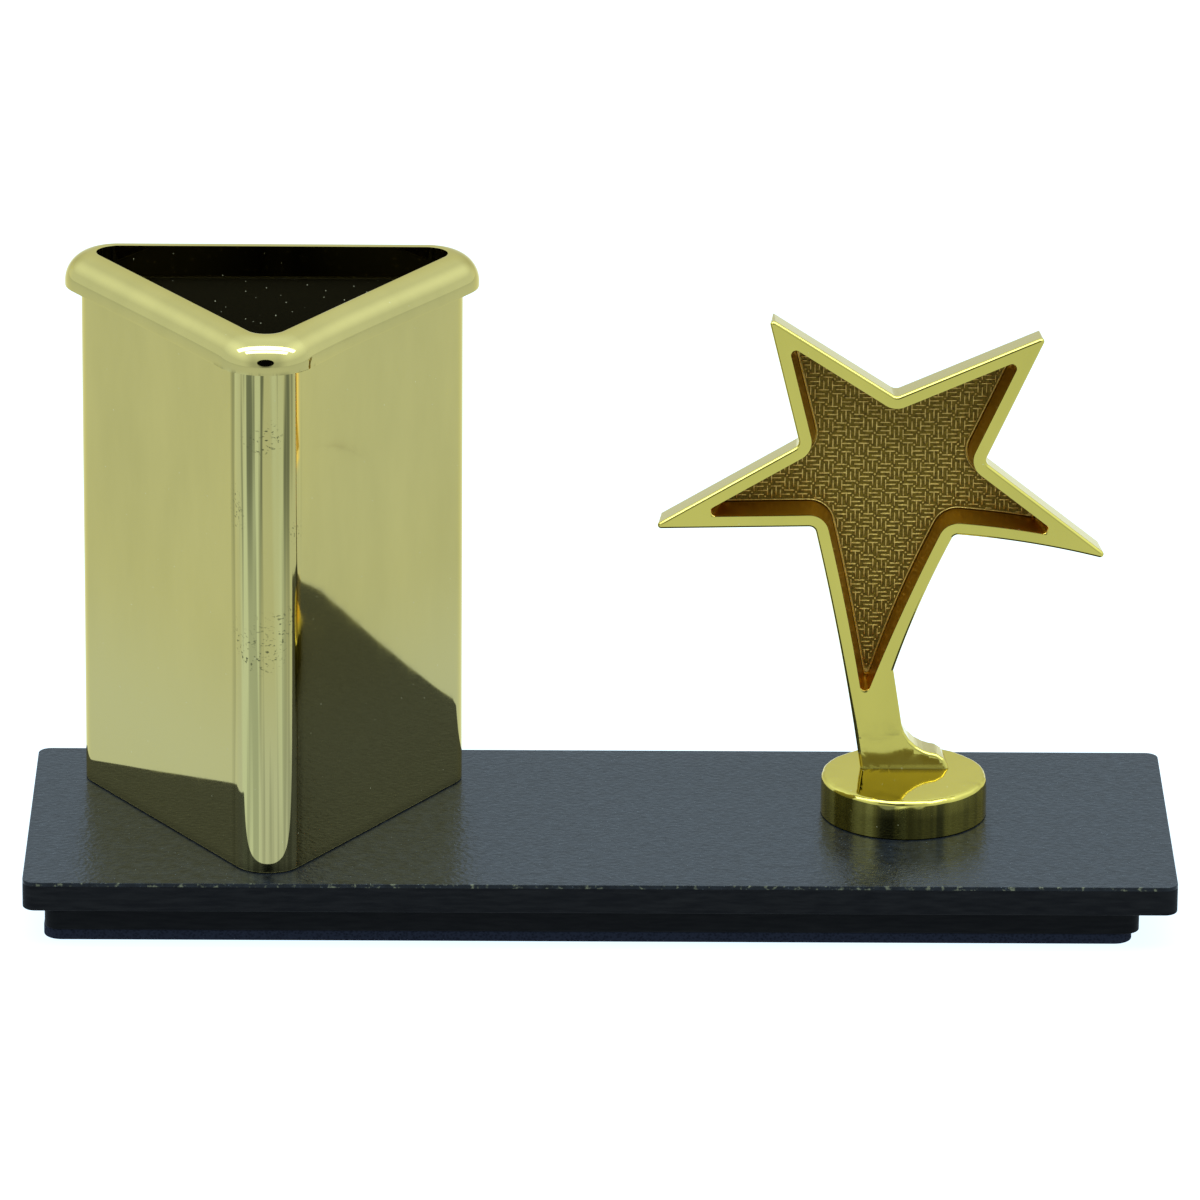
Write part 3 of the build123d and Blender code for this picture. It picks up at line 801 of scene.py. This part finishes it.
def corner_arc(first, second, corner, radius, inset, steps=8):
    """The rounded corner between two edges drawn inward by inset."""
    point = meet(first, second, corner, inset)
    along_a, along_b = first.nearest(point, inset)[1], second.nearest(point, inset)[1]
    cross = along_a.x * along_b.y - along_a.y * along_b.x
    if not radius or abs(cross) < NEARLY_STRAIGHT:
        return [point]
    side = 1 if cross > 0 else -1
    centre = meet(first, second, point, inset + side * radius)
    a, b = (edge.nearest(centre, inset)[0] - centre for edge in (first, second))
    sweep = math.atan2(a.x * b.y - a.y * b.x, a.dot(b))
    return [centre + Matrix.Rotation(sweep * i / steps, 2) @ a for i in range(steps + 1)]


def star_ring(corners, inset, tip_round=None, spacing=1.5):
    """The outline drawn in by inset, with its corners rounded: points in millimetres."""
    count = len(corners)
    edges = [Edge(corners[k][0], corners[k][2], corners[(k + 1) % count][0]) for k in range(count)]
    arcs = []
    for k, (corner, radius, _) in enumerate(corners):
        before, after = edges[k - 1], edges[k]
        a, b = before.nearest(Vector(corner), 0)[1], after.nearest(Vector(corner), 0)[1]
        convex = a.x * b.y - a.y * b.x > 0
        if radius and convex:
            radius = tip_round if tip_round is not None else max(0.2, radius - inset)
        elif radius:
            radius += inset
        arcs.append(corner_arc(before, after, Vector(corner), radius, inset))
    ring = []
    for k, arc in enumerate(arcs):
        ring += arc
        target = arcs[(k + 1) % count][0]
        edge = edges[k]
        steps = max(2, round((edge.end - edge.start).length / spacing))
        ring += [edge.nearest(arc[-1].lerp(target, i / steps), inset)[0] for i in range(1, steps)]
    return ring


def star_points(ring, depth):
    """A ring of (x, z) millimetres as points in space, at a depth behind the front face."""
    y = STAR_LOW.y + depth * MM
    return [(PEDESTAL_X + x * MM, y, LAMINATE_HIGH.z + z * MM) for x, z in ring]


def fill_between(mesh, rows):
    """Fill the flat region bounded by rings of vertices."""
    edges = []
    for row in rows:
        for i, vertex in enumerate(row):
            edges.append(mesh.edges.get((vertex, row[(i + 1) % len(row)])))
    bmesh.ops.triangle_fill(mesh, use_beauty=True, use_dissolve=False, edges=edges)


def add_rows(mesh, sections, corners, tip_round=None):
    """Rings of vertices for (inset, depth) sections, joined by quads; returns the rows."""
    rows = [
        [mesh.verts.new(p) for p in star_points(star_ring(corners, inset, tip_round), depth)]
        for inset, depth in sections
    ]
    for first, second in zip(rows, rows[1:]):
        join_rows(mesh, first, second)
    return rows


FOOT_ROWS = 15                  # rows of faces up the foot, one per millimetre
FOOT_HEIGHT = FOOT_ROWS * MM
FOOT_DEPTH = 0.8 * STAR_THICKNESS      # only this much behind the front moves
FLARE_HEIGHT = 9.0 * MM
FLARE_TILT = math.radians(7.0)
CASTING_HEIGHT = 0.05 * MM
CASTING_LENGTH = 3.5 * MM


def shape_foot(mesh):
    """Flare the foot's front slightly outward at the bottom, with the unevenness of a casting."""
    for step in range(1, FOOT_ROWS + 1):
        bmesh.ops.bisect_plane(mesh, geom=mesh.verts[:] + mesh.edges[:] + mesh.faces[:],
                               plane_co=(0, 0, PEDESTAL_HIGH.z + step * MM), plane_no=(0, 0, 1))
    for step in range(math.floor(HEEL[0]) + 1, math.ceil(TOE[0]) + 2):
        low = [v for v in mesh.verts if v.co.z < PEDESTAL_HIGH.z + FOOT_HEIGHT]
        edges = {e for v in low for e in v.link_edges}
        faces = {f for v in low for f in v.link_faces}
        bmesh.ops.bisect_plane(mesh, geom=low + list(edges) + list(faces),
                               plane_co=(PEDESTAL_X + step * MM, 0, 0), plane_no=(1, 0, 0))
    for vertex in mesh.verts:
        rise = vertex.co.z - PEDESTAL_HIGH.z
        depth = vertex.co.y - STAR_LOW.y
        if rise > FOOT_HEIGHT or depth > FOOT_DEPTH:
            continue
        low = max(0.0, 1 - rise / FLARE_HEIGHT)
        flare = math.tan(FLARE_TILT) * FLARE_HEIGHT / 2 * low * low
        uneven = CASTING_HEIGHT * noise.noise(vertex.co / CASTING_LENGTH)
        uneven *= smooth_step(1 - rise / FOOT_HEIGHT)
        vertex.co.y += (1 - depth / FOOT_DEPTH) * (uneven - flare)


FRONT_EDGE = 0.70               # rounds of the star's edges, in millimetres
BACK_EDGE = 0.2
RECESS_EDGE = 0.18
CONTACT_HEIGHT = 0.1 * MM       # the thin line where the foot meets the pedestal, painted dark as contact shade
CONTACT_SHADE = 0.8


def make_star(material, edge_steps=7):
    """The star's body: soft front edge, drafted sides and a recess with sloping walls."""
    thickness, draft = STAR_THICKNESS / MM, STAR_DRAFT / MM
    sections = quarter_round(FRONT_EDGE, edge_steps)
    sections += [(draft * (thickness - BACK_EDGE) / thickness, thickness - BACK_EDGE),
                 (draft + BACK_EDGE, thickness)]
    mesh = bmesh.new()
    recessed, side, bare_and_contact_shade = (mesh.verts.layers.float.new(key) for key in ("recess", "side", "bare_and_contact_shade"))
    outer = add_rows(mesh, sections, UPPER_CORNERS + FOOT_CORNERS)
    # The drafted side rows get the paler painted reflection tone
    for row in outer[-3:-1]:
        for vertex in row:
            vertex[side] = 1.0
    border, lip = STAR_BORDER / MM, RECESS_EDGE
    recess = [(border - lip, 0.0), (border - BEND * lip, BEND * lip), (border, lip)]
    floor = [(border + RECESS_DRAFT / MM, RECESS_DEPTH / MM)]
    inner = add_rows(mesh, recess, UPPER_CORNERS + POINT_CORNERS, RECESS_TIP_ROUND)
    inner += add_rows(mesh, floor, UPPER_CORNERS + FLOOR_CORNERS, FLOOR_TIP_ROUND)
    join_rows(mesh, inner[-2], inner[-1])
    # The recess's walls and floor get the deeper orange painted reflection
    for vertex in inner[-1] + inner[-2]:
        vertex[recessed] = 1.0
    fill_between(mesh, [outer[0], inner[0]])
    for vertex, after in zip(inner[-1], inner[-1][1:] + inner[-1][:1]):
        if mesh.edges.get((vertex, after)) is None:
            mesh.edges.new((vertex, after))
    fill_between(mesh, [inner[-1]])
    fill_between(mesh, [outer[-1]])
    cut = bmesh.ops.bisect_plane(
        mesh, geom=mesh.verts[:] + mesh.edges[:] + mesh.faces[:],
        plane_co=(0, 0, PEDESTAL_HIGH.z), plane_no=(0, 0, -1), clear_outer=True,
    )
    rim = [part for part in cut["geom_cut"] if isinstance(part, bmesh.types.BMEdge)]
    bmesh.ops.triangle_fill(mesh, use_beauty=True, use_dissolve=True, edges=rim)
    shape_foot(mesh)
    # Painted contact shade: a thin dark line where the foot meets the pedestal
    for vertex in mesh.verts:
        if vertex.co.z < PEDESTAL_HIGH.z + CONTACT_HEIGHT:
            vertex[bare_and_contact_shade] = CONTACT_SHADE
    finish_piece(mesh, "star_figure", material, ["star_body"], sharp_angle=35)


# ---------------------------------------------------------------- inlay
# Sizes of the weave, in millimetres
WEAVE_STEP = (2.65, -0.83)      # from one group of bars to the next
WEAVE_MIDDLE = (-3.0, 66.0)
WEAVE_REACH = 30                # groups on each side of the middle
BAR_PITCH = 0.87
BAR_LENGTH = 1.95
BAR_WIDTH = 0.38
BAR_HEIGHT = 0.16
BAR_STAGGER = 0.40
BARS_IN_GROUP = 4
BAR_OVERRUN = 0.10              # how far a bar's sunk end reaches past its length
BAR_SHOULDER = 0.06
BAR_END_WIDTH = 0.55            # width of the sunk end, as a share
# Across a bar: place, height and painted highlight, each as a share
BAR_SECTION = [(-0.5, 0.0, 0.0), (-0.34, 0.72, 0.3), (0.0, 1.0, 1.0), (0.34, 0.72, 0.3), (0.5, 0.0, 0.0)]
# Up a dot: radius, height and painted highlight
DOT_SECTION = [(1.0, 0.0, 0.0), (0.6, 0.7, 0.7)]
PLATE_EDGE = 0.28
PLATE_GAP = 0.1                 # between the plate and the recess's wall
WEAVE_GAP = 0.12


def inside(point, ring):
    """Whether a point is inside a closed ring."""
    x, y = point
    hit = False
    for (x0, y0), (x1, y1) in zip(ring, ring[1:] + ring[:1]):
        if (y0 > y) != (y1 > y) and x < (x1 - x0) * (y - y0) / (y1 - y0) + x0:
            hit = not hit
    return hit


def kept_stretch(start, end, ring, steps=12):
    """The longest stretch of a straight bar that lies inside a ring, or None."""
    inside_at = [inside(start.lerp(end, i / steps), ring) for i in range(steps + 1)]
    best, run = None, []
    for i, ok in enumerate(inside_at + [False]):
        if ok:
            run.append(i)
            continue
        if len(run) > 2 and (best is None or len(run) > len(best)):
            best = run
        run = []
    if best is None:
        return None
    return start.lerp(end, best[0] / steps), start.lerp(end, best[-1] / steps)


def weave_bars(ring):
    """Centre lines of all the raised bars and the places of the dots, inside a ring."""
    step = Vector(WEAVE_STEP)
    across = Vector((-step.y, step.x))
    bars, dots = [], []
    for i in range(-WEAVE_REACH, WEAVE_REACH + 1):
        for j in range(-WEAVE_REACH, WEAVE_REACH + 1):
            centre = Vector(WEAVE_MIDDLE) + step * i + across * j
            level = (i + j) % 2 == 0
            along = Vector((1, 0)) if level else Vector((0, 1))
            side = Vector((0, -1)) if level else Vector((1, 0))
            for k in range(BARS_IN_GROUP):
                shift = BAR_STAGGER if k % 2 == 0 else -BAR_STAGGER
                bar = centre + side * (k - (BARS_IN_GROUP - 1) / 2) * BAR_PITCH + along * shift
                kept = kept_stretch(bar - along * BAR_LENGTH / 2, bar + along * BAR_LENGTH / 2, ring)
                if kept:
                    bars.append(kept)
            dot = centre + (step + across) / 2
            if inside(dot, ring):
                dots.append(dot)
    return bars, dots


def add_bar(mesh, ridge_highlight, start, end, floor):
    """A low round-backed ridge from start to end, standing on the floor."""
    along = (end - start).normalized()
    side = Vector((-along.y, along.x))
    overrun, shoulder = along * BAR_OVERRUN, along * BAR_SHOULDER
    stations = [(start - overrun, 0.0), (start + shoulder, 1.0), (end - shoulder, 1.0), (end + overrun, 0.0)]
    rows = []
    for place, lift in stations:
        row = []
        for offset, height, shine in BAR_SECTION:
            p = place + side * offset * BAR_WIDTH * (BAR_END_WIDTH + (1 - BAR_END_WIDTH) * lift)
            vertex = mesh.verts.new(star_points([p], floor - BAR_HEIGHT * height * lift)[0])
            vertex[ridge_highlight] = shine * lift
            row.append(vertex)
        rows.append(row)
    join_and_cap(mesh, rows)


def add_dot(mesh, ridge_highlight, centre, floor, radius=0.24, sides=8):
    """A small raised dot on the floor."""
    rows = []
    for share, height, shine in DOT_SECTION:
        row = []
        for i in range(sides):
            a = 2 * math.pi * i / sides
            p = (centre.x + radius * share * math.cos(a), centre.y + radius * share * math.sin(a))
            vertex = mesh.verts.new(star_points([p], floor - BAR_HEIGHT * height)[0])
            vertex[ridge_highlight] = shine
            row.append(vertex)
        rows.append(row)
    join_and_cap(mesh, rows)


def make_inlay(material):
    """The plate in the star's recess, with its raised weave and a plain raised edge."""
    mesh = bmesh.new()
    ridge_highlight = mesh.verts.layers.float.new("ridge_highlight")
    corners = UPPER_CORNERS + FLOOR_CORNERS
    inset = (STAR_BORDER + RECESS_DRAFT) / MM + PLATE_GAP
    front = (RECESS_DEPTH - INLAY_THICKNESS) / MM
    floor = front + BAR_HEIGHT
    sections = [(inset, RECESS_DEPTH / MM), (inset, front + 0.25 * BAR_HEIGHT),
                (inset + 0.4 * PLATE_EDGE, front), (inset + PLATE_EDGE, floor)]
    rows = add_rows(mesh, sections, corners, FLOOR_TIP_ROUND)
    # The plate's raised edge gets the full painted highlight
    for vertex in rows[2]:
        vertex[ridge_highlight] = 1.0
    fill_between(mesh, [rows[-1]])
    fill_between(mesh, [rows[0]])
    ring = star_ring(corners, inset + PLATE_EDGE + WEAVE_GAP, FLOOR_TIP_ROUND)
    bars, dots = weave_bars([tuple(point) for point in ring])
    for start, end in bars:
        add_bar(mesh, ridge_highlight, start, end, floor)
    for dot in dots:
        add_dot(mesh, ridge_highlight, dot, floor)
    finish_piece(mesh, "woven_inlay", material, ["star_inlay"], sharp_angle=60)


# ---------------------------------------------------------------- fasteners
def dress_fasteners():
    """Give the carried-over screws and washers their steel."""
    steel = steel_material()
    for name in ("cup_screws", "cup_washers", "star_screw", "star_washer", "plinth_screws"):
        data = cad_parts[name].data
        data.materials.clear()
        data.materials.append(steel)


# ---------------------------------------------------------------- camera, floor and light
# The camera, solved from the photograph
CAMERA_PLACE = Vector((-16.2, -1929.0, 735.8)) * MM + Vector((0, 0, LAMINATE_HIGH.z))
CAMERA_DOWN = math.radians(19.670)
CAMERA_TURN = math.radians(0.475)
CAMERA_ROLL = math.radians(0.430)
CAMERA_LENS = 308.1
SENSOR_WIDTH = 36.0
SKY = (1.0, 1.22, 1.38)
TENT_LIGHT = 1.6
SIDE_LIGHT = 1.5 * TENT_LIGHT
FLOOR_RADIUS = 6.0
FLOOR_GREY = (0.10, 0.10, 0.10)
FLOOR_GLOW = 0.86
CARD_BLACK = (0.004, 0.004, 0.004)
BOX_DISTANCE = 1.6
BOX_RADIANCE = 10.0
AIM_HEIGHT = 0.08               # the soft boxes face this height over the table
FRONT_LOW = Vector((0, -0.982, 0.190))   # towards the dark room behind the camera


def make_camera():
    """A long lens from the front, a little above."""
    camera = bpy.data.objects.new("camera", bpy.data.cameras.new("camera"))
    bpy.context.scene.collection.objects.link(camera)
    camera.data.lens = CAMERA_LENS
    camera.data.sensor_width = SENSOR_WIDTH
    camera.data.clip_start = 0.05
    forward = Vector((math.sin(CAMERA_TURN) * math.cos(CAMERA_DOWN),
                      math.cos(CAMERA_TURN) * math.cos(CAMERA_DOWN), -math.sin(CAMERA_DOWN)))
    right = Vector((math.cos(CAMERA_TURN), -math.sin(CAMERA_TURN), 0))
    up = right.cross(forward)
    rolled_right = math.cos(CAMERA_ROLL) * right + math.sin(CAMERA_ROLL) * up
    rolled_up = -math.sin(CAMERA_ROLL) * right + math.cos(CAMERA_ROLL) * up
    turn = Matrix((rolled_right, rolled_up, -forward)).transposed().to_4x4()
    camera.matrix_world = Matrix.Translation(CAMERA_PLACE) @ turn
    bpy.context.scene.camera = camera


def make_floor():
    """A plain pale floor, wide enough to run into the surroundings."""
    material, tree, shader = new_material("floor_white")
    feed(tree, shader, Base_Color=(*FLOOR_GREY, 1), Emission_Color=(*SKY, 1),
         Emission_Strength=FLOOR_GLOW, Roughness=1.0, Specular_IOR_Level=0.0)
    bpy.ops.mesh.primitive_circle_add(vertices=96, radius=FLOOR_RADIUS, fill_type="NGON",
                                      location=(0, 0, PAD_LOW.z))
    floor = bpy.context.object
    floor.name = "floor"
    floor.data.materials.append(material)


def make_world():
    """A pale light tent: brighter overhead and at the sides, darker in front where it is open."""
    world = bpy.data.worlds.new("tent")
    bpy.context.scene.world = world
    world.use_nodes = True
    tree = world.node_tree
    way = node(tree, "ShaderNodeTexCoord").outputs["Generated"]
    parts = node(tree, "ShaderNodeSeparateXYZ", Vector=way).outputs
    facing = node(tree, "ShaderNodeVectorMath", operation="DOT_PRODUCT")
    facing.inputs[1].default_value = FRONT_LOW
    tree.links.new(way, facing.inputs[0])
    overhead = ramp(tree, parts["Z"], [(0.25, 0.53), (0.85, 1.0)])
    opening = ramp(tree, facing.outputs["Value"], [(0.955, 1.0), (0.985, 0.5)])
    sides = fade(tree, size_of(tree, parts["X"]), 0.40, 0.80, TENT_LIGHT, SIDE_LIGHT)
    strength = product(tree, product(tree, overhead, opening), sides)
    feed(tree, tree.nodes["Background"], Color=(*SKY, 1), Strength=strength)


def soft_box(name, elevation, size):
    """A rectangular light high in front of the object, facing it, unseen by the camera."""
    light = bpy.data.lights.new(name, "AREA")
    light.shape = "RECTANGLE"
    light.size, light.size_y = size
    light.energy = BOX_RADIANCE * math.pi * size[0] * size[1]
    light.color = tuple(channel / max(SKY) for channel in SKY)
    lamp = bpy.data.objects.new(name, light)
    bpy.context.scene.collection.objects.link(lamp)
    up = math.radians(elevation)
    away = Vector((0, -math.cos(up), math.sin(up)))
    lamp.location = away * BOX_DISTANCE + Vector((0, 0, AIM_HEIGHT))
    lamp.rotation_euler = away.to_track_quat("Z", "Y").to_euler()
    lamp.visible_camera = False


def dark_card(name, place, reach, facing):
    """A dark oval card that shows only in the gold, unseen by the camera itself."""
    material, tree, shader = new_material(name)
    feed(tree, shader, Base_Color=(*CARD_BLACK, 1), Specular_IOR_Level=0.0)
    mesh = bmesh.new()
    bmesh.ops.create_circle(mesh, cap_ends=True, radius=1, segments=48)
    bmesh.ops.scale(mesh, vec=(*reach, 1), verts=mesh.verts)
    data = bpy.data.meshes.new(name)
    mesh.to_mesh(data)
    mesh.free()
    data.materials.append(material)
    card = bpy.data.objects.new(name, data)
    bpy.context.scene.collection.objects.link(card)
    card.location = place
    card.rotation_euler = (Vector(facing) - Vector(place)).to_track_quat("Z", "Y").to_euler()
    card.visible_camera = False


def make_lights():
    """Two wide soft boxes high in front, the dark lens, and a card for the rim's dark oval."""
    soft_box("box_high", elevation=62, size=(2.5, 0.30))
    soft_box("box_top", elevation=78, size=(3.8, 0.42))
    dark_card("lens_mouth", place=(-0.01, -1.60, 0.51), reach=(0.20, 0.12), facing=(0, 0, 0.1))
    dark_card("cup_card", place=(-0.066, -0.37, 0.226), reach=(0.115, 0.085),
              facing=(-0.066, -0.033, 0.12))


bpy.context.scene.view_settings.view_transform = "Standard"
make_camera()
make_floor()
make_world()
make_lights()
make_base()
plastic_gold = gold_material("gold_plastic", FILM_GOLD, roughness=0.035, pit_scale=60, ripple=0.10,
                             cup_reflections_and_scuffs=True)
cast_gold = gold_material("gold_metal", PLATE_GOLD, roughness=0.05, pit_scale=160, ripple=0.25)
make_cup(plastic_gold)
make_pedestal(cast_gold)
make_star(cast_gold)
make_inlay(inlay_material())
dress_fasteners()
